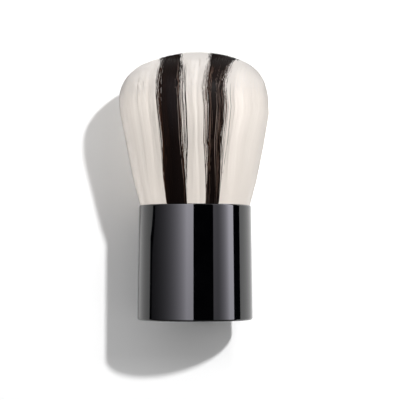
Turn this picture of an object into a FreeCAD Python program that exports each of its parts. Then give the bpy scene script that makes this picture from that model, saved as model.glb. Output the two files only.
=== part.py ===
import FreeCAD, Part
import math
import os

# Kabuki makeup brush standing on its base: millimetres, Z along the brush, origin at the base's centre.

# Whole brush
overall_height = 69.6
handle_height = 29.6
base_diameter = 30.0
mouth_diameter = 29.2

# Handle shell: moulded tube, tapered outside, with a straight bore
mouth_wall = 0.8
rim_round = 0.3
rim_round_limit_share = 0.45  # of the wall at the mouth
foot_round = 0.45

# Base cap: disc with radial ribs and a slotted spigot that snaps into the core
cap_recess = 0.2
cap_thickness = 1.4
cap_fit = 0.05
cap_edge_round = 0.3
spigot_height = 2.2
spigot_wall = 1.0
spigot_fit = 0.05
snap_depth = 0.2
snap_length = 0.9
slot_count = 6
slot_width = 1.4
cap_rib_count = 6
cap_rib_width = 0.9
cap_rib_gap = 0.6  # leaves the claws free to bend
hub_diameter = 3.6

# Steel weight, held between the spigot and the core's ribs
weight_height = 7.0
weight_fit = 0.1
weight_round = 0.5

# Inner core: skirt with outside glue ribs, and a plate that carries the cup
core_glue_gap = 0.25
core_wall = 1.2
plate_thickness = 1.5
hold_rib_height = 1.2
hold_rib_width = 1.0
hold_rib_count = 6
glue_rib_width = 0.8
glue_rib_count = 8
glue_rib_fit = 0.03
vent_diameter = 4.0

# Ferrule cup: drawn aluminium with one crimp bead that bites into the resin
cup_fit = 0.05
cup_wall = 0.45
cup_rim_drop = 0.5
cup_corner_round = 1.0
bead_depth = 0.3
bead_length = 1.8
bead_round = 0.7

# Root resin
resin_depth = 4.0
resin_fit = 0.02

# Binding thread, wound round the waist of the roots
thread_diameter = 0.7
thread_pitch = 1.2
thread_turns = 3
thread_gap = 0.1

# Hair: a round knot that flares from the rim to a belly and ends in rounded shoulders and a crown
head_diameter = 38.8
crown_radius = 31.0
shoulder_radius = 9.5
belly_height = 5.4  # from the shoulders down to where the flank leans in
belly_radius = 20.0
hair_fit = 0.05
brim_setback = 0.25
brim_lift = 0.15
stripe_brim_shares = (-0.51, -0.145, 0.19, 0.43)  # of the brim's radius, at the rim
stripe_crown_shares = (-0.475, -0.175, 0.20, 0.49)  # of the head's radius, at the crest
tuft_names = ("left_outer_tuft", "left_dark_tuft", "centre_tuft", "right_dark_tuft", "right_outer_tuft")

cut_overrun = 1.0

# Radii that fit into each other, from the outside in
base_radius = base_diameter / 2
mouth_radius = mouth_diameter / 2
bore_radius = mouth_radius - mouth_wall
core_outer = bore_radius - core_glue_gap
core_inner = core_outer - core_wall
spigot_outer = core_inner - spigot_fit
spigot_inner = spigot_outer - spigot_wall
cup_outer = bore_radius - cup_fit
cup_inner = cup_outer - cup_wall
resin_radius = cup_inner - resin_fit
knot_radius = cup_inner - hair_fit
waist_radius = cup_inner - thread_gap - thread_diameter - thread_gap
winding_radius = waist_radius + thread_gap + thread_diameter / 2
brim_radius = mouth_radius - brim_setback
head_radius = head_diameter / 2

# Levels, from the base up
cap_top = cap_recess + cap_thickness
spigot_top = cap_top + spigot_height
snap_level = cap_top + spigot_height / 2
weight_top = spigot_top + weight_height
plate_bottom = weight_top + hold_rib_height
plate_top = plate_bottom + plate_thickness
cup_floor = plate_top + cup_wall
cup_top = handle_height - cup_rim_drop
resin_top = cup_floor + resin_depth
bead_level = cup_floor + resin_depth / 2
thread_bottom = resin_top + thread_gap + thread_diameter / 2
thread_rise = thread_pitch * thread_turns
waist_top = thread_bottom + thread_rise + thread_diameter / 2 + thread_gap
brim_level = handle_height + brim_lift
crown_centre = overall_height - crown_radius
shoulder_inset = head_radius - shoulder_radius
shoulder_level = crown_centre + math.sqrt((crown_radius - shoulder_radius) ** 2 - shoulder_inset ** 2)
belly_level = shoulder_level - belly_height

axis_foot = FreeCAD.Vector(0, 0, 0)
axis_up = FreeCAD.Vector(0, 0, 1)


def place(radius, height):
    return FreeCAD.Vector(radius, 0, height)


def line(start, end):
    return Part.LineSegment(start, end).toShape()


def arc_in_corner(start, corner, end):
    # Circular arc that touches both sides of the corner
    middle = (start + end) / 2
    half_turn = (corner - start).getAngle(middle - start)
    rise = (middle - start).Length * math.tan(half_turn / 2)
    crest = middle + (corner - middle).normalize() * rise
    return Part.Arc(start, crest, end).toShape()


def outline(corners):
    # Closed outline: each corner is a radius and a height, with a third value where it is rounded
    starts = []
    ends = []
    tips = [place(corner[0], corner[1]) for corner in corners]
    for index, corner in enumerate(corners):
        tip = tips[index]
        back = (tips[index - 1] - tip).normalize()
        ahead = (tips[(index + 1) % len(tips)] - tip).normalize()
        rounding = corner[2] if len(corner) > 2 else 0
        reach = rounding / math.tan(back.getAngle(ahead) / 2)
        starts.append(tip + back * reach)
        ends.append(tip + ahead * reach)
    edges = []
    for index, corner in enumerate(corners):
        if len(corner) > 2:
            edges.append(arc_in_corner(starts[index], tips[index], ends[index]))
        edges.append(line(ends[index], starts[(index + 1) % len(corners)]))
    return edges


def turned(edges):
    return Part.Face(Part.Wire(edges)).revolve(axis_foot, axis_up, 360)


def spokes(count, width, inner, outer, bottom, top):
    # Radial ribs between two radii, with ends that follow the round walls
    bar = Part.makeBox(outer + cut_overrun, width, top - bottom, FreeCAD.Vector(0, -width / 2, bottom))
    bars = []
    for index in range(count):
        copy = bar.copy()
        copy.rotate(axis_foot, axis_up, 360 * index / count)
        bars.append(copy)
    ring = turned(outline([(inner, bottom), (outer, bottom), (outer, top), (inner, top)]))
    return ring.common(bars[0].multiFuse(bars[1:]))


def handle_shell():
    rim = min(rim_round, mouth_wall * rim_round_limit_share)
    return turned(outline([
        (bore_radius, 0),
        (base_radius, 0, foot_round),
        (mouth_radius, handle_height, rim),
        (bore_radius, handle_height, rim),
    ]))


def base_cap():
    cap_radius = bore_radius - cap_fit
    body = turned(outline([
        (0, cap_recess),
        (cap_radius, cap_recess, cap_edge_round),
        (cap_radius, cap_top),
        (spigot_outer, cap_top),
        (spigot_outer, snap_level - snap_length / 2),
        (spigot_outer + snap_depth, snap_level),
        (spigot_outer, snap_level + snap_length / 2),
        (spigot_outer, spigot_top),
        (spigot_inner, spigot_top),
        (spigot_inner, cap_top),
        (0, cap_top),
    ]))
    slots = spokes(
        slot_count, slot_width, spigot_inner - cut_overrun, spigot_outer + cut_overrun,
        cap_top, spigot_top + cut_overrun,
    )
    hub = Part.makeCylinder(hub_diameter / 2, spigot_height, place(0, cap_top))
    ribs = spokes(
        cap_rib_count, cap_rib_width, hub_diameter / 4, spigot_inner - cap_rib_gap, cap_top, spigot_top,
    )
    ribs.rotate(axis_foot, axis_up, 180 / cap_rib_count)
    return body.cut(slots).fuse([ribs, hub]).removeSplitter()


def base_weight():
    weight_radius = core_inner - weight_fit
    return turned(outline([
        (0, spigot_top),
        (weight_radius, spigot_top, weight_round),
        (weight_radius, weight_top, weight_round),
        (0, weight_top),
    ]))


def inner_core():
    vent_radius = vent_diameter / 2
    body = turned(outline([
        (vent_radius, plate_bottom),
        (core_inner, plate_bottom),
        (core_inner, snap_level + snap_length / 2 + spigot_fit),
        (core_inner + snap_depth, snap_level),
        (core_inner, snap_level - snap_length / 2 - spigot_fit),
        (core_inner, cap_top),
        (core_outer, cap_top),
        (core_outer, plate_top),
        (vent_radius, plate_top),
    ]))
    hold_ribs = spokes(
        hold_rib_count, hold_rib_width, vent_radius, core_inner + core_wall / 2, weight_top, plate_bottom,
    )
    glue_ribs = spokes(
        glue_rib_count, glue_rib_width, core_outer - core_wall / 2, bore_radius - glue_rib_fit,
        snap_level + snap_length, plate_top,
    )
    return body.fuse([hold_ribs, glue_ribs]).removeSplitter()


def ferrule_cup():
    bead_low = bead_level - bead_length / 2
    bead_high = bead_level + bead_length / 2
    return turned(outline([
        (0, plate_top),
        (cup_outer, plate_top, cup_corner_round),
        (cup_outer, bead_low),
        (cup_outer - bead_depth, bead_level, bead_round),
        (cup_outer, bead_high),
        (cup_outer, cup_top),
        (cup_inner, cup_top),
        (cup_inner, bead_high),
        (cup_inner - bead_depth, bead_level, bead_round),
        (cup_inner, bead_low),
        (cup_inner, cup_floor, cup_corner_round - cup_wall),
        (0, cup_floor),
    ]))


def root_resin():
    return turned(outline([
        (0, cup_floor),
        (resin_radius, cup_floor, cup_corner_round - cup_wall),
        (resin_radius, bead_level - bead_length / 2),
        (resin_radius - bead_depth, bead_level, bead_round),
        (resin_radius, bead_level + bead_length / 2),
        (resin_radius, resin_top),
        (0, resin_top),
    ]))


def thread_point(turn):
    angle = 2 * math.pi * turn
    height = thread_bottom + thread_pitch * turn
    return FreeCAD.Vector(winding_radius * math.cos(angle), winding_radius * math.sin(angle), height)


def thread_heading(turn):
    angle = 2 * math.pi * turn
    rise_share = thread_pitch / (2 * math.pi * winding_radius)
    return FreeCAD.Vector(-math.sin(angle), math.cos(angle), rise_share).normalize()


def biarc(start, start_heading, end, end_heading):
    # Two arcs in a row that leave and arrive along the given headings
    chord = end - start
    headings = start_heading + end_heading
    square = headings.dot(headings) - 4
    slope = -2 * chord.dot(headings)
    reach = (-slope - math.sqrt(slope * slope - 4 * square * chord.dot(chord))) / (2 * square)
    first = start + start_heading * reach
    second = end - end_heading * reach
    meeting = (first + second) / 2
    return [arc_in_corner(start, first, meeting), arc_in_corner(meeting, second, end)]


def least_thread_gap():
    steps = 72
    points = [thread_point(index / steps) for index in range(steps * thread_turns + 1)]
    least = thread_rise
    for index, point in enumerate(points):
        for other in points[index + steps // 2:]:
            least = min(least, point.distanceToPoint(other))
    return least - thread_diameter


def binding_thread():
    # Wound in quarter turns, with straight ends one diameter long
    start = thread_point(0)
    end = thread_point(thread_turns)
    tail = start - thread_heading(0) * thread_diameter
    edges = [line(tail, start)]
    stations = [index / 4 for index in range(4 * thread_turns + 1)]
    for turn, following in zip(stations, stations[1:]):
        edges += biarc(
            thread_point(turn), thread_heading(turn), thread_point(following), thread_heading(following),
        )
    edges.append(line(end, end + thread_heading(thread_turns) * thread_diameter))
    section = Part.Wire(Part.Circle(tail, thread_heading(0), thread_diameter / 2).toShape())
    return Part.Wire(edges).makePipeShell([section], True, False)


def arc_about(centre, radius, start_angle, end_angle):
    angles = (start_angle, (start_angle + end_angle) / 2, end_angle)
    points = [centre + place(math.cos(angle), math.sin(angle)) * radius for angle in angles]
    return Part.Arc(*points).toShape()


def hair_knot():
    brim = place(brim_radius, brim_level)
    belly = place(head_radius, belly_level)
    flank = (brim - belly).normalize()
    # The flank and the upright side above it meet in an arc
    belly_reach = belly_radius / math.tan(flank.getAngle(axis_up) / 2)
    belly_low = belly + flank * belly_reach
    belly_high = belly + axis_up * belly_reach
    # The shoulder's arc meets the crown's arc at this angle
    meeting_angle = math.atan2(shoulder_level - crown_centre, shoulder_inset)
    shoulder = arc_about(place(shoulder_inset, shoulder_level), shoulder_radius, 0, meeting_angle)
    crown = arc_about(place(0, crown_centre), crown_radius, meeting_angle, math.pi / 2)
    root = [
        place(0, resin_top),
        place(waist_radius, resin_top),
        place(waist_radius, waist_top),
        place(knot_radius, waist_top + knot_radius - waist_radius),
        place(knot_radius, brim_level),
        brim,
        belly_low,
    ]
    edges = [line(start, end) for start, end in zip(root, root[1:])]
    edges.append(arc_in_corner(belly_low, belly, belly_high))
    edges.append(line(belly_high, place(head_radius, shoulder_level)))
    edges += [shoulder, crown]
    edges.append(line(place(0, overall_height), root[0]))
    knot = turned(edges)
    # The seam of the turned faces lies inside the middle tuft
    knot.rotate(axis_foot, axis_up, -90)
    return knot


def parting(brim_share, crown_share):
    # Line between two tufts: upright inside the cup, then fanned out to the crest
    brim_place = brim_share * brim_radius
    crown_place = crown_share * head_radius
    fan = (crown_place - brim_place) / (overall_height - brim_level)
    return [
        place(brim_place, resin_top - cut_overrun),
        place(brim_place, brim_level),
        place(crown_place + fan * cut_overrun, overall_height + cut_overrun),
    ]


def tufts():
    knot = hair_knot()
    side_share = (head_radius + cut_overrun) / head_radius
    brim_side_share = (head_radius + cut_overrun) / brim_radius
    brim_shares = (-brim_side_share, *stripe_brim_shares, brim_side_share)
    crown_shares = (-side_share, *stripe_crown_shares, side_share)
    partings = [parting(*shares) for shares in zip(brim_shares, crown_shares)]
    width = head_diameter + 2 * cut_overrun
    pieces = {}
    for name, left, right in zip(tuft_names, partings, partings[1:]):
        slab = Part.Face(Part.makePolygon(left + right[::-1] + left[:1]))
        slab.translate(FreeCAD.Vector(0, -width / 2, 0))
        pieces[name] = knot.common(slab.extrude(FreeCAD.Vector(0, width, 0)))
    return pieces


nodes = {
    "handle_shell": handle_shell(),
    "base_cap": base_cap(),
    "base_weight": base_weight(),
    "inner_core": inner_core(),
    "ferrule_cup": ferrule_cup(),
    "root_resin": root_resin(),
    "binding_thread": binding_thread(),
    **tufts(),
}

os.makedirs("parts", exist_ok=True)
for name, shape in nodes.items():
    solid = shape.Solids[0]
    print(name, "solids", len(shape.Solids), "valid", solid.isValid(), "volume", round(solid.Volume, 1))
    solid.exportStep(f"parts/{name}.step")
print("least gap between turns of the thread", round(least_thread_gap(), 3))
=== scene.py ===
import bpy
import math
import numpy as np
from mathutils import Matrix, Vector


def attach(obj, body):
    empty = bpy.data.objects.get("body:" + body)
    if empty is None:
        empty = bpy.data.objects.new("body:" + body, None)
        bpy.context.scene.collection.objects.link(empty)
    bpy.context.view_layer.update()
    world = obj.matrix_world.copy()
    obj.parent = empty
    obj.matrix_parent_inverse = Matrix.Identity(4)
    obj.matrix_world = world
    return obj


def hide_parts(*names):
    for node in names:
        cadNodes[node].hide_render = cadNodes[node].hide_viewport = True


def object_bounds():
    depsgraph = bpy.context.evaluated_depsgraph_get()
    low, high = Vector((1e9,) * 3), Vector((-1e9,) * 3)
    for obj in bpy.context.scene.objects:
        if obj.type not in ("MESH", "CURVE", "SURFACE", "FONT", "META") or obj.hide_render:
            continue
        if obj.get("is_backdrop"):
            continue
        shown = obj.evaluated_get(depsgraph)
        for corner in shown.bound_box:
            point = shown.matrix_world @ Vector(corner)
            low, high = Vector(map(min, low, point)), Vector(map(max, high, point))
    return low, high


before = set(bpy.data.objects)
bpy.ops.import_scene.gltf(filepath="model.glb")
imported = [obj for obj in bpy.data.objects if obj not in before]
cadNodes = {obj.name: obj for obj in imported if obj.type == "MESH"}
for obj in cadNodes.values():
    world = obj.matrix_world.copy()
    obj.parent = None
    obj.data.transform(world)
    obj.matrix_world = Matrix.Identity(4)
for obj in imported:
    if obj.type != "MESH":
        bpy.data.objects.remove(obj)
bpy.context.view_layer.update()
scene = bpy.context.scene
scene.view_settings.view_transform = "Standard"
mm = 0.001  # metres
wavePeriod = math.tau / 20  # of a wave texture at scale 1
print("frame loaded,", len(cadNodes), "CAD pieces")


def linear(hexCode):
    shares = [int(hexCode[k:k + 2], 16) / 255 for k in (1, 3, 5)]
    return [c / 12.92 if c <= 0.04045 else ((c + 0.055) / 1.055) ** 2.4 for c in shares] + [1.0]


# adds one node, sets its properties, ramp stops and sockets, and links any socket given
def addNode(tree, kind, sockets=None, stops=None, **settings):
    node = tree.nodes.new("ShaderNode" + kind)
    for name, value in settings.items():
        setattr(node, name, value)
    for k, (share, hexCode) in enumerate(stops or []):
        spots = node.color_ramp.elements
        spot = spots[k] if k < 2 else spots.new(share)
        spot.position, spot.color = share, linear(hexCode)
    for key, value in (sockets or {}).items():
        if isinstance(value, bpy.types.NodeSocket):
            tree.links.new(value, node.inputs[key])
        else:
            node.inputs[key].default_value = value
    return node


def newMaterial(name, constants):
    material = bpy.data.materials.new(name)
    material.use_nodes = True
    skin = material.node_tree.nodes["Principled BSDF"]
    for key, value in constants.items():
        skin.inputs[key].default_value = value
    return material, material.node_tree, skin


# camera straight above the table that the brush lies on, which is along +Y here
cameraSet = {"distance": 0.362, "eyeHeight": 0.015, "aim": (0.00128, 0.0, 0.0311), "lens": 125.0, "sensor": 36.0}
cameraData = bpy.data.cameras.new("photoCamera")
cameraData.lens, cameraData.sensor_width = cameraSet["lens"], cameraSet["sensor"]
camera = bpy.data.objects.new("photoCamera", cameraData)
scene.collection.objects.link(camera)
camera.location = (cameraSet["aim"][0], -cameraSet["distance"], cameraSet["eyeHeight"])
camera.rotation_euler = (Vector(cameraSet["aim"]) - camera.location).to_track_quat("-Z", "Y").to_euler()
scene.camera = camera
print("camera set")

# a round lamp at the upper right, wide soft fills low at both sides and behind, and a faint even sky
lightSet = {
    "skyLow": 0.01, "skyHigh": 0.7,
    "key": {"at": (214.5, -454.0, 245.5), "radius": 15.0, "power": 9.8},
    "fills": {"leftFill": {"towards": (1.0, 0.05, -0.13), "strength": 2.4, "angle": 0.6},
              "rightFill": {"towards": (-1.0, 0.2, 0.15), "strength": 0.15, "angle": 0.6},
              # lights only what the table hides from the camera
              "backFill": {"towards": (0.0, -1.0, 0.0), "strength": 1.5, "angle": 0.6}},
}
keyData = bpy.data.lights.new("keyLamp", "POINT")
keyData.energy, keyData.shadow_soft_size = lightSet["key"]["power"], lightSet["key"]["radius"] * mm
keyLamp = bpy.data.objects.new("keyLamp", keyData)
keyLamp.location = Vector(lightSet["key"]["at"]) * mm
scene.collection.objects.link(keyLamp)
for name, fill in lightSet["fills"].items():
    fillData = bpy.data.lights.new(name, "SUN")
    fillData.energy, fillData.angle = fill["strength"], fill["angle"]
    fillLamp = bpy.data.objects.new(name, fillData)
    fillLamp.rotation_euler = Vector(fill["towards"]).to_track_quat("-Z", "Y").to_euler()
    fillLamp.visible_glossy = False
    scene.collection.objects.link(fillLamp)

world = bpy.data.worlds.new("paleStudio")
scene.world = world
world.use_nodes = True
sky = world.node_tree
sky.nodes.clear()
path = addNode(sky, "LightPath")
seen = addNode(sky, "Math", {0: path.outputs["Is Camera Ray"], 1: path.outputs["Is Glossy Ray"]}, operation="ADD")
seen = addNode(sky, "Math", {0: seen.outputs[0], 1: path.outputs["Is Transmission Ray"]},
               operation="ADD", use_clamp=True)
place = addNode(sky, "TexCoord")
upward = addNode(sky, "SeparateXYZ", {0: place.outputs["Generated"]})
soft = addNode(sky, "MapRange", {"Value": upward.outputs["Z"], "From Min": -1.0, "From Max": 1.0,
                                 "To Min": lightSet["skyLow"], "To Max": lightSet["skyHigh"]})
evenSky = addNode(sky, "Background", {"Color": linear("#ffffff"), "Strength": soft.outputs["Result"]})
whiteSky = addNode(sky, "Background", {"Color": linear("#ffffff"), "Strength": 1.0})
skyMix = addNode(sky, "MixShader", {0: seen.outputs[0], 1: evenSky.outputs[0], 2: whiteSky.outputs[0]})
addNode(sky, "OutputWorld", {"Surface": skyMix.outputs[0]})

# white table under the lying brush; it is see-through from below, so that it never hides the brush
tableSet = {"footDepth": 14.95, "tilt": 0.03, "paper": "#fdfdfd", "glow": 0.02,
            "edge": ((-114, -160), (126, -160), (126, 220), (-330, 220), (-330, 48), (-114, 24)),
            # painted light, seen by camera and gloss only: whiter on the lamp's side and past the shadow, over the
            # shade and the key lamp's fall-off there: axis, from and to in mm, and how much
            "paintedLifts": (("X", 9, 19, 0.3), ("X", -24, -31, 0.05), ("Z", -10, -15, 0.05))}
corners = [(x, tableSet["footDepth"] + tableSet["tilt"] * z, z) for x, z in tableSet["edge"]]
tableMesh = bpy.data.meshes.new("whiteTable")
tableMesh.from_pydata((np.array(corners) * mm).tolist(), [], [range(len(corners))])
table = bpy.data.objects.new("whiteTable", tableMesh)
scene.collection.objects.link(table)
paper = bpy.data.materials.new("mattePaper")
paper.use_nodes = True
tree = paper.node_tree
tree.nodes.clear()
path = addNode(tree, "LightPath")
seen = addNode(tree, "Math", {0: path.outputs["Is Camera Ray"], 1: path.outputs["Is Glossy Ray"]}, operation="ADD")
seen = addNode(tree, "Math", {0: seen.outputs[0], 1: path.outputs["Is Transmission Ray"]},
               operation="ADD", use_clamp=True)
share = addNode(tree, "Math", {0: seen.outputs[0], 1: tableSet["glow"]}, operation="MULTIPLY")
matte = addNode(tree, "BsdfDiffuse", {"Color": linear(tableSet["paper"])})
white = addNode(tree, "Emission", {"Color": linear("#ffffff"), "Strength": 1.0})
matte = addNode(tree, "MixShader", {0: share.outputs[0], 1: matte.outputs[0], 2: white.outputs[0]})
place = addNode(tree, "TexCoord")
sides = addNode(tree, "SeparateXYZ", {0: place.outputs["Object"]})
paintedWhite = 0.0
# painted light: a glow for camera and gloss rays lifts the grey left there by shade and the lamp's fall-off
for axis, low, high, most in tableSet["paintedLifts"]:
    lift = addNode(tree, "MapRange", {"Value": sides.outputs[axis], "From Min": low * mm, "From Max": high * mm,
                                      "To Min": 0.0, "To Max": most})
    paintedWhite = addNode(tree, "Math", {0: paintedWhite, 1: lift.outputs["Result"]}, operation="MAXIMUM").outputs[0]
paintedWhite = addNode(tree, "Math", {0: paintedWhite, 1: seen.outputs[0]}, operation="MULTIPLY")
paintedGlow = addNode(tree, "Emission", {"Color": linear("#ffffff"), "Strength": paintedWhite.outputs[0]})
front = addNode(tree, "AddShader", {0: matte.outputs[0], 1: paintedGlow.outputs[0]})
side = addNode(tree, "NewGeometry")
clear = addNode(tree, "BsdfTransparent")
both = addNode(tree, "MixShader", {0: side.outputs["Backfacing"], 1: front.outputs[0], 2: clear.outputs[0]})
addNode(tree, "OutputMaterial", {"Surface": both.outputs[0]})
tableMesh.materials.append(paper)
table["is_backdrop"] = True

# diffuser panels and black cards round the table, which only the gloss of the handle sees
surroundSet = {
    "cloth": "#f6f3ff", "radius": 300.0, "bottom": -330.0, "top": 330.0, "rows": 133, "columns": 600,
    "sweep": (-100.0, 104.0),  # degrees, from left to right
    # mm: twice the light that far up, within limits, and none below the foot
    "middle": 14.5, "doubling": 112.0, "doublings": 1.2, "panelFoot": -18.0,
    # degrees: right of "full" a panel has its whole level, and left of that it halves again and again
    "leftPanel": {"from": -94.1, "to": -3.0, "full": -16.0, "halving": 14.4, "level": 5.05, "least": 0.0},
    "rightPanel": {"from": 36.0, "to": 82.0, "full": 71.5, "halving": 9.4, "level": 5.75, "least": 0.92},
    "leftBend": 7.1, "bendHeights": (24.0, 40.0),  # degrees that the left panel's end bends in between heights in mm
}
angles = np.linspace(*surroundSet["sweep"], surroundSet["columns"])
heights = np.linspace(surroundSet["bottom"], surroundSet["top"], surroundSet["rows"])
across, up = np.meshgrid(angles, heights)
points = np.stack([surroundSet["radius"] * np.sin(np.radians(across)),
                   -surroundSet["radius"] * np.cos(np.radians(across)), up], -1).reshape(-1, 3) * mm
wide = len(angles)
first = (np.arange(len(heights) - 1)[:, None] * wide + np.arange(wide - 1)).ravel()
squares = np.stack([first, first + wide, first + wide + 1, first + 1], 1)
surroundMesh = bpy.data.meshes.new("diffuserPanels")
surroundMesh.from_pydata(points.tolist(), [], squares.tolist())
glow = np.zeros_like(across)
for panel in (surroundSet["leftPanel"], surroundSet["rightPanel"]):
    fade = 2 ** (-np.maximum(panel["full"] - across, 0) / panel["halving"])
    inside = (across > panel["from"]) & (across < panel["to"])
    glow = glow + np.maximum(panel["level"] * fade, panel["least"]) * inside
limit = surroundSet["doublings"]
rise = np.clip((up - surroundSet["middle"]) / surroundSet["doubling"], -limit, limit)
glow = glow * 2 ** rise * (up > surroundSet["panelFoot"])
bend = surroundSet["leftBend"] * np.interp(up, surroundSet["bendHeights"], (0, 1))
glow = glow * (across > surroundSet["leftPanel"]["from"] + bend)
surroundMesh.attributes.new("glow", "FLOAT", "POINT").data.foreach_set("value", glow.ravel().astype(np.float32))
surround = bpy.data.objects.new("diffuserPanels", surroundMesh)
scene.collection.objects.link(surround)
diffuser = bpy.data.materials.new("diffuserCloth")
diffuser.use_nodes = True
tree = diffuser.node_tree
tree.nodes.clear()
level = addNode(tree, "Attribute", attribute_name="glow")
shine = addNode(tree, "Emission", {"Color": linear(surroundSet["cloth"]), "Strength": level.outputs["Fac"]})
addNode(tree, "OutputMaterial", {"Surface": shine.outputs[0]})
surroundMesh.materials.append(diffuser)
surround.visible_camera = surround.visible_diffuse = surround.visible_shadow = surround.visible_transmission = False
surround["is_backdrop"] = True
print("stage and lamps set")

# ABS, injection moulded in black and polished: a deep gloss in which lamps show as sharp bands
blackAbs = {"deep": "#010102", "haze": "#030304", "flow": 7.0,
            "ior": 1.54, "roughness": (0.03, 0.06), "ripple": 0.0006}
polishedAbs, tree, skin = newMaterial("polishedBlackAbs", {"IOR": blackAbs["ior"]})
place = addNode(tree, "TexCoord")
flow = addNode(tree, "TexNoise", {"Vector": place.outputs["Object"],
                                  "Scale": 1 / (blackAbs["flow"] * mm), "Detail": 3.0})
tint = addNode(tree, "ValToRGB", {"Fac": flow.outputs["Fac"]},
               stops=[(0.3, blackAbs["deep"]), (0.7, blackAbs["haze"])])
tree.links.new(tint.outputs["Color"], skin.inputs["Base Color"])
rough = addNode(tree, "MapRange", {"Value": flow.outputs["Fac"], "From Min": 0.3, "From Max": 0.7,
                                   "To Min": blackAbs["roughness"][0], "To Max": blackAbs["roughness"][1]})
tree.links.new(rough.outputs["Result"], skin.inputs["Roughness"])
ripple = addNode(tree, "Bump", {"Height": flow.outputs["Fac"], "Distance": blackAbs["ripple"] * mm, "Strength": 1.0})
tree.links.new(ripple.outputs["Normal"], skin.inputs["Normal"])

# ABS moulded against a spark-eroded tool: an even satin grain, really 0.1 mm and drawn at 0.3 mm to show
satinAbs = {"low": "#101011", "high": "#1a1a1b", "grain": 0.3,
            "ior": 1.52, "roughness": (0.38, 0.5), "relief": 0.012}
erodedAbs, tree, skin = newMaterial("sparkErodedAbs", {"IOR": satinAbs["ior"]})
place = addNode(tree, "TexCoord")
grain = addNode(tree, "TexNoise", {"Vector": place.outputs["Object"],
                                   "Scale": 1 / (satinAbs["grain"] * mm), "Detail": 2.0})
tint = addNode(tree, "ValToRGB", {"Fac": grain.outputs["Fac"]},
               stops=[(0.3, satinAbs["low"]), (0.7, satinAbs["high"])])
tree.links.new(tint.outputs["Color"], skin.inputs["Base Color"])
rough = addNode(tree, "MapRange", {"Value": grain.outputs["Fac"],
                                   "To Min": satinAbs["roughness"][0], "To Max": satinAbs["roughness"][1]})
tree.links.new(rough.outputs["Result"], skin.inputs["Roughness"])
relief = addNode(tree, "Bump", {"Height": grain.outputs["Fac"], "Distance": satinAbs["relief"] * mm, "Strength": 0.6})
tree.links.new(relief.outputs["Normal"], skin.inputs["Normal"])

# ABS moulded without polish, for the hidden core: dull charcoal with soft flow clouds
rawAbs = {"low": "#2a2a2c", "high": "#333335", "cloud": 4.0, "ior": 1.52, "roughness": (0.5, 0.65)}
mouldedAbs, tree, skin = newMaterial("mouldedAbs", {"IOR": rawAbs["ior"]})
place = addNode(tree, "TexCoord")
cloud = addNode(tree, "TexNoise", {"Vector": place.outputs["Object"],
                                   "Scale": 1 / (rawAbs["cloud"] * mm), "Detail": 4.0})
tint = addNode(tree, "ValToRGB", {"Fac": cloud.outputs["Fac"]},
               stops=[(0.3, rawAbs["low"]), (0.7, rawAbs["high"])])
tree.links.new(tint.outputs["Color"], skin.inputs["Base Color"])
rough = addNode(tree, "MapRange", {"Value": cloud.outputs["Fac"],
                                   "To Min": rawAbs["roughness"][0], "To Max": rawAbs["roughness"][1]})
tree.links.new(rough.outputs["Result"], skin.inputs["Roughness"])

# mild steel bar, turned on a lathe: rings about the axis from the tool's feed, drawn 0.8 mm apart to show
barSteel = {"dull": "#8d8d8f", "bright": "#b9b9bb", "feed": 0.8, "roughness": (0.28, 0.42), "cut": 0.01}
turnedSteel, tree, skin = newMaterial("turnedSteel", {"Metallic": 1.0})
place = addNode(tree, "TexCoord")
rings = addNode(tree, "TexWave", {"Vector": place.outputs["Object"], "Scale": wavePeriod / (barSteel["feed"] * mm),
                                  "Distortion": 0.4}, wave_type="RINGS", rings_direction="Z")
tint = addNode(tree, "ValToRGB", {"Fac": rings.outputs["Fac"]},
               stops=[(0.0, barSteel["dull"]), (1.0, barSteel["bright"])])
tree.links.new(tint.outputs["Color"], skin.inputs["Base Color"])
rough = addNode(tree, "MapRange", {"Value": rings.outputs["Fac"],
                                   "To Min": barSteel["roughness"][0], "To Max": barSteel["roughness"][1]})
tree.links.new(rough.outputs["Result"], skin.inputs["Roughness"])
relief = addNode(tree, "Bump", {"Height": rings.outputs["Fac"], "Distance": barSteel["cut"] * mm, "Strength": 0.5})
tree.links.new(relief.outputs["Normal"], skin.inputs["Normal"])

# aluminium sheet, deep drawn into a cup: pale metal with fine lines along the draw, 0.3 mm apart
sheetAluminium = {"dull": "#c6c7c9", "bright": "#e2e3e5", "line": 0.3, "roughness": (0.22, 0.36)}
drawnAluminium, tree, skin = newMaterial("drawnAluminium", {"Metallic": 1.0})
place = addNode(tree, "TexCoord")
stretch = addNode(tree, "Mapping", {"Vector": place.outputs["Object"], "Scale": (1.0, 1.0, 0.03)})
lines = addNode(tree, "TexNoise", {"Vector": stretch.outputs["Vector"],
                                   "Scale": 1 / (sheetAluminium["line"] * mm), "Detail": 2.0})
tint = addNode(tree, "ValToRGB", {"Fac": lines.outputs["Fac"]},
               stops=[(0.3, sheetAluminium["dull"]), (0.7, sheetAluminium["bright"])])
tree.links.new(tint.outputs["Color"], skin.inputs["Base Color"])
rough = addNode(tree, "MapRange", {"Value": lines.outputs["Fac"], "To Min": sheetAluminium["roughness"][0],
                                   "To Max": sheetAluminium["roughness"][1]})
tree.links.new(rough.outputs["Result"], skin.inputs["Roughness"])

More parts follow.
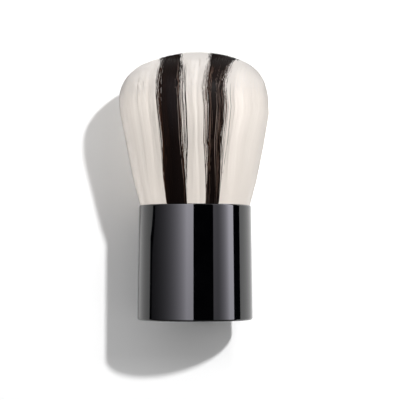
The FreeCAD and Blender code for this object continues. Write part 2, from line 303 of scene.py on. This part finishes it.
# epoxy, poured and left to set: amber and glassy, with cloudy streaks where it soaked into the hair
pouredEpoxy = {"thin": "#c79a55", "thick": "#9a6a2a", "streak": 2.5, "ior": 1.55, "roughness": (0.08, 0.25)}
castEpoxy, tree, skin = newMaterial("castEpoxy", {"IOR": pouredEpoxy["ior"]})
place = addNode(tree, "TexCoord")
streak = addNode(tree, "TexNoise", {"Vector": place.outputs["Object"],
                                    "Scale": 1 / (pouredEpoxy["streak"] * mm), "Detail": 4.0})
tint = addNode(tree, "ValToRGB", {"Fac": streak.outputs["Fac"]},
               stops=[(0.3, pouredEpoxy["thick"]), (0.7, pouredEpoxy["thin"])])
tree.links.new(tint.outputs["Color"], skin.inputs["Base Color"])
rough = addNode(tree, "MapRange", {"Value": streak.outputs["Fac"],
                                   "To Min": pouredEpoxy["roughness"][0], "To Max": pouredEpoxy["roughness"][1]})
tree.links.new(rough.outputs["Result"], skin.inputs["Roughness"])

# cotton, spun and plied: a soft thread with slanting plies, drawn 1 mm apart to show, and a faint fuzz
pliedCotton = {"valley": "#b3a88f", "crest": "#e3dac6", "ply": 1.0,
               "ior": 1.53, "roughness": 0.85, "fuzz": 0.3, "relief": 0.08}
spunCotton, tree, skin = newMaterial("spunCotton", {"IOR": pliedCotton["ior"], "Roughness": pliedCotton["roughness"],
                                                    "Sheen Weight": pliedCotton["fuzz"]})
place = addNode(tree, "TexCoord")
slant = addNode(tree, "Mapping", {"Vector": place.outputs["Object"], "Rotation": (0.0, 0.7, 0.0)})
plies = addNode(tree, "TexWave", {"Vector": slant.outputs["Vector"], "Scale": wavePeriod / (pliedCotton["ply"] * mm),
                                  "Distortion": 1.0})
tint = addNode(tree, "ValToRGB", {"Fac": plies.outputs["Fac"]},
               stops=[(0.0, pliedCotton["valley"]), (1.0, pliedCotton["crest"])])
tree.links.new(tint.outputs["Color"], skin.inputs["Base Color"])
relief = addNode(tree, "Bump", {"Height": plies.outputs["Fac"],
                                "Distance": pliedCotton["relief"] * mm, "Strength": 0.6})
tree.links.new(relief.outputs["Normal"], skin.inputs["Normal"])

finishes = {"handle_shell": polishedAbs, "base_cap": erodedAbs, "inner_core": mouldedAbs, "base_weight": turnedSteel,
            "ferrule_cup": drawnAluminium, "root_resin": castEpoxy, "binding_thread": spunCotton}
for name, material in finishes.items():
    cadNodes[name].data.materials.clear()
    cadNodes[name].data.materials.append(material)
print("handle and inner pieces finished")

# goat hair, bleached and combed: cream strands that differ slightly, with painted shade that darkens them towards the
# root, and paler, cooler and a little darker at the tips as painted shade on the lit crown
bleachedHair = {"gap": "#d6cabd", "low": "#ddd3c9", "mid": "#e6ddd4", "warm": "#ebe3da", "high": "#efe8e0",
                "root": "#dcd3ca", "tip": "#dfdbd8", "tipShadingShare": 0.6, "sheen": 0.25,
                "ior": 1.55, "shine": 0.2, "roughness": (0.45, 0.62)}
# goat hair, dyed brown-black: nearly black in the mass, with brown strands along its edges and lighter strands that
# are painted highlights; painted shade darkens it towards the root, and its tips are lighter, partly from fuzzy ends
# and partly painted light from above
dyedHair = {"gap": "#040302", "low": "#080403", "mid": "#1a100c", "warm": "#63402b", "high": "#8a7d75",
            "root": "#060302", "tip": "#2c2321", "tipShadingShare": 0.2, "sheen": 0.0,
            "ior": 1.55, "shine": 0.04, "roughness": (0.36, 0.55)}
# the gap colour, the darkest, is painted shade: it goes on each tuft's solid middle, seen between the strands
hairRamp = {"low": 0.12, "mid": 0.5, "warm": 0.76}  # where these tones lie between the gap's and the highest
hairEnds = {"rootShadeShare": 0.7, "rootShadeEnd": 0.5, "tipShadingStart": 0.82}  # in shares of a strand's length
hairMaterials = []
for name, hair in (("bleachedGoatHair", bleachedHair), ("dyedGoatHair", dyedHair)):
    material, tree, skin = newMaterial(name, {"IOR": hair["ior"], "Specular IOR Level": hair["shine"],
                                              "Sheen Weight": hair["sheen"]})
    tone = addNode(tree, "Attribute", attribute_name="tone")
    along = addNode(tree, "Attribute", attribute_name="along")
    stops = [(0.0, hair["gap"]), (1.0, hair["high"])] + [(share, hair[key]) for key, share in hairRamp.items()]
    tint = addNode(tree, "ValToRGB", {"Fac": tone.outputs["Fac"]}, stops=stops)
    # painted shade: the colour darkens towards the root, where the strands crowd into the ferrule
    nearRootShade = addNode(tree, "MapRange", {"Value": along.outputs["Fac"],
                                          "From Min": 0.0, "From Max": hairEnds["rootShadeEnd"],
                                          "To Min": hairEnds["rootShadeShare"], "To Max": 0.0},
                       interpolation_type="SMOOTHSTEP")
    rootShaded = addNode(tree, "MixRGB", {0: nearRootShade.outputs["Result"],
                                      1: tint.outputs["Color"], 2: linear(hair["root"])})
    # towards the tips the colour is painted light and shade of the crown: lighter on the dark hair, where fuzzy ends
    # also lighten it, and greyer on the pale
    nearTipShading = addNode(tree, "MapRange", {"Value": along.outputs["Fac"],
                                         "From Min": hairEnds["tipShadingStart"], "From Max": 1.0,
                                         "To Min": 0.0, "To Max": hair["tipShadingShare"]},
                      interpolation_type="SMOOTHSTEP")
    tipShaded = addNode(tree, "MixRGB", {0: nearTipShading.outputs["Result"],
                                      1: rootShaded.outputs["Color"], 2: linear(hair["tip"])})
    tree.links.new(tipShaded.outputs["Color"], skin.inputs["Base Color"])
    rough = addNode(tree, "MapRange", {"Value": tone.outputs["Fac"],
                                       "To Min": hair["roughness"][0], "To Max": hair["roughness"][1]})
    tree.links.new(rough.outputs["Result"], skin.inputs["Roughness"])
    hairMaterials.append(material)

# the knot of hair: outline sizes in mm
hairKnot = {
    "seed": 4, "rootHeight": 28.5, "throatHeight": 28.7, "throatRadius": 13.0,
    "brimHeight": 29.9, "brimRadius": 14.3, "flankBow": 0.3, "bowHeight": 16.0,
    "bellyHeight": 52.3, "bellyRadius": 19.45, "bellyBlend": 0.18, "turnBand": 2.0,
    "shoulderHeight": 57.45, "shoulderRound": 10.0, "crownHeight": 69.5, "crownRound": 32.8, "crownFrom": 60.0,
    "lopsided": 0.026, "lopsidedHeights": (50, 62), "lopsidedRadii": (9, 19),  # the crown leans to the right
    "bulge": -0.35, "bulgeHeights": (51, 57, 60, 65),  # the shoulder stands out to the left
    "combHeight": 16.0, "overHeight": 50.0,  # combed sideways that far above the brim, bent over above the second
    "outlineFrom": 53.5, "outlineTo": 4.0,  # the strands' way over the head, from this height to this radius
    "softness": 0.95, "flatness": 0.35,  # how far strands are shaded as one smooth head, and how flat they are
}
# where the stripes part, in shares of the radius: at the brim, at the shoulder and over the crown
stripeLines = {"brim": (-0.503, -0.137, 0.188, 0.42), "shoulder": (-0.465, -0.165, 0.17, 0.345),
               "crown": (-0.465, -0.178, 0.213, 0.66), "fan": 1.2}
# three beds of strands, in mm and in shares of the radius; real hair is about 0.08 mm and is drawn thicker to show
strandBeds = {
    "coat": {"count": 6000, "shares": (0.993, 1.0), "width": 0.2, "drift": 0.03, "reach": (3.0, 11.0, 18.0),
             "edgeDrift": 0.2, "edgeFade": 0.04, "edgeBand": 0.05, "edgeWidth": 0.7, "brownFade": 0.008},
    # lies over the stripes' edges and feathers them; the shifts lead out of the dark stripe at each of four edges
    "fringe": {"count": 4200, "shares": (0.998, 1.006), "width": 0.1, "reach": (1.0, 8.0, 15.0), "spread": 0.08,
               "stray": (0.42, 0.5), "slant": 0.23, "slantFrom": 36.0, "slantHeight": 20.0, "slantMost": 1.3,
               "darkShift": (-0.05, 0.4, 0.25, 0.5), "paleShift": (0.0, 0.5, 0.35, 0.65),
               "paleWidth": 0.7, "brownFade": 0.025},
    "crown": {"count": 16300, "shares": (0.0, 0.975), "width": 0.23, "drift": 0.3, "brownFade": 0.008,
              "tipSink": 0.18, "tipStand": 0.04},
}
# small differences from strand to strand: mm, shares of the width and radians; crowded strands fan out a little
strandChance = {"wobble": 0.012, "sink": 0.06, "width": (0.8, 1.15), "spin": 0.1, "crowdMost": 0.6, "crowdFan": 0.6}
# rings of a whole strand: heights on the flank, then shares of its reach; and of a crown strand: mm below its tip
strandRings = {"flank": (hairKnot["rootHeight"], hairKnot["brimHeight"], 36.0, 45.0),
               "over": (0, 0.3, 0.58, 0.82, 1.0), "taper": (1, 1, 1, 1, 1, 1, 0.85, 0.6, 0.2),
               "crown": (9.0, 4.5, 1.5, 0.0), "crownTaper": (1, 1, 0.95, 0.65)}
# a strand's tone on its ramp: the middle, and how much locks and single strands differ; brown at left and right edges
strandTones = {"dark": (0.22, 0.07, 0.08), "pale": (0.66, 0.05, 0.06), "limits": (0.1, 0.98), "brown": (0.6, 0.2),
               "streak": (0.8, 0.98), "highlightShare": (0.24, 0.1), "waves": 16, "waveRange": (6, 60)}
# the solid middle of each tuft under its strands, in shares of the radius and in mm
tuftMiddle = {"share": 0.965, "sink": 0.6, "gap": 0.012, "depth": 0.9, "steps": 15, "sideGap": 0.05,
              "combHeight": 20.0, "shadeHeight": 40.0, "shadeMost": 0.8,
              "heights": (hairKnot["rootHeight"], hairKnot["brimHeight"], 36.0, 44.0, 50.5, 54.0),
              "inward": (0.0, 0.15, 0.3, 0.5, 0.7, 0.88)}
# on the colour map a strand lies across by its tone and up by its length; the tufts' middles are at the left end
palette = {"left": 0.04, "wide": 0.93, "foot": 0.02, "tall": 0.96, "halfStrand": 1.5 / 1024,
           "middleLeft": 0.004, "middleWide": 0.02, "lidCentre": (0.014, 0.01), "lidRadius": 0.008}

flankLean = (hairKnot["bellyRadius"] - hairKnot["brimRadius"]) / (hairKnot["bellyHeight"] - hairKnot["brimHeight"])
shoulderInset = hairKnot["bellyRadius"] - hairKnot["shoulderRound"]
crownJoin = hairKnot["crownRound"] * shoulderInset / (hairKnot["crownRound"] - hairKnot["shoulderRound"])
chance = np.random.default_rng(hairKnot["seed"])


# from 0 at the low value to 1 at the high one, with soft ends
def between(value, low, high):
    share = np.clip((value - low) / (high - low), 0, 1)
    return share * share * (3 - 2 * share)


def flankRadius(z):
    k = hairKnot
    flank = k["brimRadius"] + flankLean * (z - k["brimHeight"])
    rounded = -k["bellyBlend"] * np.logaddexp(-flank / k["bellyBlend"], -k["bellyRadius"] / k["bellyBlend"])
    opening = (k["brimRadius"] - k["throatRadius"]) / (k["brimHeight"] - k["throatHeight"])
    throat = k["throatRadius"] + np.maximum(0, opening * (z - k["throatHeight"]))
    bow = k["flankBow"] * np.sin(math.pi * np.clip((z - k["brimHeight"]) / k["bowHeight"], 0, 1))
    return np.minimum(rounded + bow, throat)


def domeHeight(radius):
    k = hairKnot
    crown = k["crownHeight"] - k["crownRound"] + np.sqrt(np.maximum(k["crownRound"] ** 2 - radius ** 2, 0))
    bend = np.maximum(radius - shoulderInset, 0)
    shoulder = k["shoulderHeight"] + np.sqrt(np.maximum(k["shoulderRound"] ** 2 - bend ** 2, 0))
    return np.where(radius < crownJoin, crown, shoulder)


def headNormals(points):
    k = hairKnot
    radius, z = np.hypot(points[..., 0], points[..., 1]), points[..., 2]
    onCrown, onShoulder = (radius < crownJoin) & (z > k["crownFrom"]), z > k["shoulderHeight"]
    out = np.where(onCrown, radius, np.where(onShoulder, np.maximum(radius - shoulderInset, 0.1), 1.0))
    lean = -flankLean * np.clip((k["bellyHeight"] + k["turnBand"] - z) / (2 * k["turnBand"]), 0, 1)
    up = np.where(onCrown, z - k["crownHeight"] + k["crownRound"],
                  np.where(onShoulder, z - k["shoulderHeight"], lean))
    normals = np.stack([out * points[..., 0] / (radius + 1e-9), out * points[..., 1] / (radius + 1e-9), up], -1)
    return normals / np.linalg.norm(normals, axis=-1, keepdims=True)


def partings(depthShare):
    shoulder, crown = np.array(stripeLines["shoulder"]), np.array(stripeLines["crown"])
    return crown + (shoulder - crown) * np.minimum(np.abs(depthShare), 1)[..., None] ** stripeLines["fan"]


def leaned(points):
    k = hairKnot
    x, z = points[..., 0].copy(), points[..., 2].copy()
    radius = np.hypot(x, points[..., 1])
    points[..., 0] += k["bulge"] * between(z, *k["bulgeHeights"][:2]) * (1 - between(z, *k["bulgeHeights"][2:]))
    lift = k["lopsided"] * x * between(z, *k["lopsidedHeights"]) * (1 - between(radius, *k["lopsidedRadii"]))
    points[..., 2] += lift
    return points


# lengths along the outline from the belly over the shoulder, with its radius and height there
def headOutline():
    k = hairKnot
    bend = np.linspace(0, math.acos((crownJoin - shoulderInset) / k["shoulderRound"]), 24)
    inner = np.linspace(crownJoin, k["outlineTo"], 12)[1:]
    start = k["outlineFrom"]
    radius = np.concatenate([[flankRadius(start)], shoulderInset + k["shoulderRound"] * np.cos(bend), inner])
    z = np.concatenate([[start], k["shoulderHeight"] + k["shoulderRound"] * np.sin(bend), domeHeight(inner)])
    return np.concatenate([[0], np.cumsum(np.hypot(np.diff(radius), np.diff(z)))]), radius, z


def layStrands(kind):
    k, bed, tones = hairKnot, strandBeds[kind], strandTones
    count = bed["count"]
    brim, shoulder, crown = (np.array(stripeLines[level]) for level in ("brim", "shoulder", "crown"))
    share = np.sqrt(chance.uniform(bed["shares"][0] ** 2, bed["shares"][1] ** 2, count))
    turn = chance.uniform(0, math.tau, count)
    if kind == "fringe":  # along the stripes' edges only, front and back
        across = brim[chance.integers(0, 4, count)] + chance.uniform(-bed["spread"], bed["spread"], count)
        turn = np.arccos(np.clip(across / share, -1, 1)) * chance.choice([-1, 1], count)
    spot = np.stack([np.cos(turn), np.sin(turn)], 1) * share[:, None]
    side = np.sign(spot[:, 1:])
    # a strand has the colour of the tuft that it grows from
    lines = partings(spot[:, 1]) if kind == "crown" else np.broadcast_to(brim, (count, 4))
    tuft = (spot[:, :1] > lines).sum(1)
    gaps = np.abs(spot[:, :1] - lines)
    edge, nearest = gaps.min(1), gaps.argmin(1)
    leftEdge = nearest % 2 == 0
    dark = tuft % 2 == 1
    # locks of like tone run through the coat, and the stripes are brown along their left edges
    waveCount = tones["waves"]
    waves = chance.normal(0, 1, (waveCount, 2)) * np.geomspace(*tones["waveRange"], waveCount)[:, None]
    locks = np.cos(spot @ waves.T + chance.uniform(0, math.tau, waveCount)).sum(1) / math.sqrt(waveCount / 2)
    scatter = chance.normal(0, 1, count)
    brown = np.where(leftEdge, *tones["brown"]) * np.exp(-edge / bed["brownFade"]) * chance.uniform(0, 1, count)
    middle, lockPart, strandPart = (np.where(dark, *pair) for pair in zip(tones["dark"], tones["pale"]))
    tone = middle + lockPart * locks + strandPart * scatter + brown * dark
    # fine lighter strands, painted highlights on the dark hair, run through the right stripe and along the right edge
    # of the left one
    paintedHighlight = chance.uniform(0, 1, count) < np.where(tuft == 3, *tones["highlightShare"])
    streak = dark & paintedHighlight & (nearest > 0) & (kind == "fringe")
    tone = np.clip(np.where(streak, chance.uniform(*tones["streak"], count), tone), *tones["limits"])
    # rings up to the tip, for whole strands or for the ends that show in the crown
    across = spot[:, :1] / share[:, None]
    if kind == "crown":
        tip = domeHeight(share * k["bellyRadius"]) - np.abs(chance.normal(0, bed["tipSink"], count))
        tip = tip + chance.exponential(bed["tipStand"], count)
        z, taper = tip[:, None] - np.array(strandRings["crown"]), np.array(strandRings["crownTaper"])
        radius = flankRadius(z)
        rise = between(z, k["brimHeight"], k["brimHeight"] + k["combHeight"])
    else:
        length, outlineRadius, outlineHeight = headOutline()
        low = np.broadcast_to(strandRings["flank"], (count, len(strandRings["flank"])))
        high = chance.triangular(*bed["reach"], count)[:, None] * np.array(strandRings["over"])
        z = np.concatenate([low, np.interp(high, length, outlineHeight)], 1)
        radius = np.concatenate([flankRadius(low), np.interp(high, length, outlineRadius)], 1)
        tip, taper = z[:, -1], np.array(strandRings["taper"])
        # combed a little sideways on the way up, and straight on over the shoulder to the crown
        rise = between(z, k["brimHeight"], k["brimHeight"] + k["combHeight"])
        across = across + np.interp(across, [-1, *brim, 1], [0, *(shoulder - brim), 0]) * rise
        onTop = z > k["overHeight"]
        shrink = np.where(onTop, np.minimum(radius / k["bellyRadius"], 1), 1.0)
        depth = np.sqrt(np.maximum(1 - across ** 2, 0)) * shrink
        across = across / np.hypot(across, depth)
        over = (1 - np.minimum(depth * shrink, 1) ** stripeLines["fan"]) * onTop
        across = across + np.interp(across * shrink, [-1, *shoulder, 1], [0, *(crown - shoulder), 0]) * over / shrink
    radius = radius * share[:, None]
    crowded = np.clip(across - 1, 0, strandChance["crowdMost"]) * np.abs(scatter)[:, None]
    turn = side * (np.arccos(np.clip(across, -1, 1)) + strandChance["crowdFan"] * crowded) * np.ones_like(z)
    outward = np.stack([np.cos(turn), np.sin(turn)], -1)
    sideways = np.stack([-np.sin(turn), np.cos(turn)], -1)
    # strands stray sideways, the fringe most, and its strands run a little aslant
    stray = np.where(leftEdge, *bed["stray"]) if kind == "fringe" else bed["drift"]
    if kind == "coat":
        stray = stray + bed["edgeDrift"] * np.exp(-edge / bed["edgeFade"])
    slide = rise * (chance.normal(0, 1, count) * stray)[:, None]
    if kind == "fringe":
        outside = np.where(leftEdge, 1, -1)[:, None] * side
        shift = np.where(dark, np.take(bed["darkShift"], nearest), np.take(bed["paleShift"], nearest))
        slide = slide + rise * outside * shift[:, None]
        climb = np.clip((z - bed["slantFrom"]) / bed["slantHeight"], 0, bed["slantMost"])
        slide = slide + chance.normal(0, bed["slant"], count)[:, None] * climb
    slide = slide + rise * chance.normal(0, strandChance["wobble"], z.shape)
    radius = radius - rise * np.abs(chance.normal(0, strandChance["sink"], count))[:, None]
    line = outward * radius[..., None] + sideways * slide[..., None]
    # three sides round each line with the widest one outside, shaded nearly as the smooth head is
    halfWidth = bed["width"] / 2 * chance.uniform(*strandChance["width"], count)
    if kind == "coat":
        halfWidth = halfWidth * np.where(edge < bed["edgeBand"], bed["edgeWidth"], 1.0)
    if kind == "fringe":
        halfWidth = halfWidth * np.where(dark, 1.0, bed["paleWidth"])
    spin = chance.normal(math.pi / 3, strandChance["spin"], count)[:, None] + np.arange(3) * math.tau / 3
    spin = spin[:, None, :, None]
    centre = np.concatenate([line, z[..., None]], -1)
    level = np.zeros_like(z)[..., None]
    facing = np.concatenate([outward, level], -1) if kind == "crown" else headNormals(centre)
    sideways = np.concatenate([sideways, level], -1)
    ring = k["flatness"] * np.cos(spin) * facing[:, :, None, :] + np.sin(spin) * sideways[:, :, None, :]
    points = centre[:, :, None, :] + ring * (halfWidth[:, None] * taper)[:, :, None, None]
    normals = headNormals(points) * k["softness"] + ring * (1 - k["softness"])
    along = (z - k["brimHeight"]) / (tip - k["brimHeight"])[:, None]
    return {"points": leaned(points), "normals": normals, "tone": tone, "along": along, "tuft": tuft}


def tuftCore(tuft):
    k, core = hairKnot, tuftMiddle
    reach = core["share"]
    outline = []
    sweep = np.linspace(-1, 1, core["steps"])
    for line, back in ((tuft - 1, False), (tuft, True)):
        if 0 <= line < 4:
            depth = sweep * core["depth"]
            across = partings(depth)[:, line] + (-core["gap"] if back else core["gap"])
            edge = np.stack([across, depth], 1)
            length = np.sqrt(np.maximum(reach ** 2 - edge[:, 0] ** 2, 0)) / core["depth"]
            length = length / np.maximum(np.abs(sweep), 1e-9)
            edge[[0, -1], 1] *= length[[0, -1]]
        else:
            side = 0.0 if back else math.pi
            own = partings(np.array([core["depth"]]))[0, 3 if back else 0]
            spread = math.acos(min(1.0, abs(own) / reach)) - core["sideGap"]
            turn = side + np.linspace(-spread, spread, core["steps"]) * (1 if back else -1)
            edge = reach * np.stack([np.cos(turn), np.sin(turn)], 1)
        outline.append(edge if back else edge[::-1])
    loop = np.concatenate(outline)
    after = np.roll(loop, -1, 0)
    if (loop[:, 0] * after[:, 1] - loop[:, 1] * after[:, 0]).sum() < 0:
        loop = loop[::-1]
    middle = loop.mean(0)
    brim, shoulder = np.array(stripeLines["brim"]), np.array(stripeLines["shoulder"])
    shift = np.interp(loop[:, 0], [-1, *shoulder, 1], [0, *(brim - shoulder), 0])
    rings = []
    for z in core["heights"]:
        combed = between(z, k["brimHeight"], k["brimHeight"] + core["combHeight"])
        spots = loop + np.stack([shift * (1 - combed), 0 * shift], 1)
        rings.append(np.concatenate([spots * flankRadius(z), np.full((len(loop), 1), z)], 1))
    for inward in core["inward"]:
        spots = (loop + (middle - loop) * inward) * k["bellyRadius"]
        top = domeHeight(np.linalg.norm(spots, axis=1)) - core["sink"]
        rings.append(np.concatenate([spots, top[:, None]], 1))
    return leaned(np.array(rings))


def hairPiece(name, tuft, beds, material):
    verts, normals, quads, caps, tones, alongs, quadMap, capMap = [], [], [], [], [], [], [], []
    start, thin = 0, palette["halfStrand"]
    for bed in beds:
        own = bed["tuft"] == tuft
        points, tone, along = bed["points"][own], bed["tone"][own], np.clip(bed["along"][own], 0, 1)
        count, rings = points.shape[:2]
        number = start + np.arange(count * rings * 3).reshape(count, rings, 3)
        after = np.roll(number, -1, 2)
        quads.append(np.stack([number[:, :-1], after[:, :-1], after[:, 1:], number[:, 1:]], -1).reshape(-1, 4))
        caps.append(np.stack([number[:, 0, ::-1], number[:, -1]], 1).reshape(-1, 3))
        verts.append(points.reshape(-1, 3))
        normals.append(bed["normals"][own].reshape(-1, 3))
        tones.append(np.broadcast_to(tone[:, None, None], number.shape).ravel())
        alongs.append(np.broadcast_to(along[:, :, None], number.shape).ravel())
        column = palette["left"] + palette["wide"] * tone
        height = palette["foot"] + palette["tall"] * along
        facets = 2 * np.arange(3)[:, None] / 3 - 1 + np.array([0, 2, 2, 0]) / 3
        u = column[:, None, None, None] + thin * facets
        v = np.stack([height[:, :-1], height[:, :-1], height[:, 1:], height[:, 1:]], -1)[:, :, None, :]
        u, v = np.broadcast_arrays(u, v)
        quadMap.append(np.broadcast_to(np.stack([u, v], -1), (count, rings - 1, 3, 4, 2)).reshape(-1, 2))
        u = column[:, None, None] + thin * np.array([-1.0, 1.0, 0.0])
        v = np.stack([height[:, 0], height[:, -1]], 1)[..., None] + thin * np.array([0.0, 0.0, 2.0])
        u, v = np.broadcast_arrays(u, v)
        capMap.append(np.stack([u, v], -1).reshape(-1, 2))
        start += count * rings * 3
    # the solid middle has the tone of the gaps, a painted shade that shows between the strands as depth
    core = tuftCore(tuft)
    rings, wide = core.shape[:2]
    number = start + np.arange(rings * wide).reshape(rings, wide)
    after = np.roll(number, -1, 1)
    quads.append(np.stack([number[:-1], after[:-1], after[1:], number[1:]], -1).reshape(-1, 4))
    verts.append(core.reshape(-1, 3))
    normals.append(headNormals(core).reshape(-1, 3))
    tones.append(np.zeros(rings * wide))
    rise = (core[..., 2] - hairKnot["brimHeight"]) / tuftMiddle["shadeHeight"]
    rise = np.clip(rise, 0, tuftMiddle["shadeMost"])
    alongs.append(rise.ravel())
    step = palette["middleLeft"]
    column = np.broadcast_to(np.arange(wide) / wide * palette["middleWide"] + step, (rings, wide))
    height = palette["foot"] + palette["tall"] * rise
    nextHeight = np.roll(height, -1, 1)
    u = np.stack([column[:-1], column[:-1] + step, column[1:] + step, column[1:]], -1)
    v = np.stack([height[:-1], nextHeight[:-1], nextHeight[1:], height[1:]], -1)
    quadMap.append(np.stack([u, v], -1).reshape(-1, 2))
    lids = [number[0, ::-1].tolist(), number[-1].tolist()]
    turn = np.linspace(0, 6, wide)
    lidMap = [palette["lidCentre"] + palette["lidRadius"] * np.stack([np.cos(turn), np.sin(turn)], 1)] * 2
    mesh = bpy.data.meshes.new(name)
    faces = np.concatenate(quads).tolist() + np.concatenate(caps).tolist() + lids
    mesh.from_pydata((np.concatenate(verts) * mm).tolist(), [], faces)
    for key, values in (("tone", tones), ("along", alongs)):
        layer = mesh.attributes.new(key, "FLOAT", "POINT")
        layer.data.foreach_set("value", np.concatenate(values).astype(np.float32))
    colourMap = mesh.uv_layers.new(name="OFBake")
    colourMap.uv.foreach_set("vector", np.concatenate(quadMap + capMap + lidMap).astype(np.float32).ravel())
    mesh.shade_smooth()
    facing = np.concatenate(normals)
    facing = facing / np.linalg.norm(facing, axis=1, keepdims=True)
    mesh.normals_split_custom_set_from_vertices(facing.tolist())
    mesh.materials.append(material)
    piece = bpy.data.objects.new(name, mesh)
    scene.collection.objects.link(piece)
    return piece


beds = [layStrands(kind) for kind in strandBeds]
tufts = (("pale_hair_left", "left_outer_tuft"), ("dark_hair_left", "left_dark_tuft"),
         ("pale_hair_middle", "centre_tuft"), ("dark_hair_right", "right_dark_tuft"),
         ("pale_hair_right", "right_outer_tuft"))
for tuft, (name, node) in enumerate(tufts):
    piece = hairPiece(name, tuft, beds, hairMaterials[tuft % 2])
    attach(piece, "root")
    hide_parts(node)
    print(name, len(piece.data.polygons), "faces")

low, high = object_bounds()
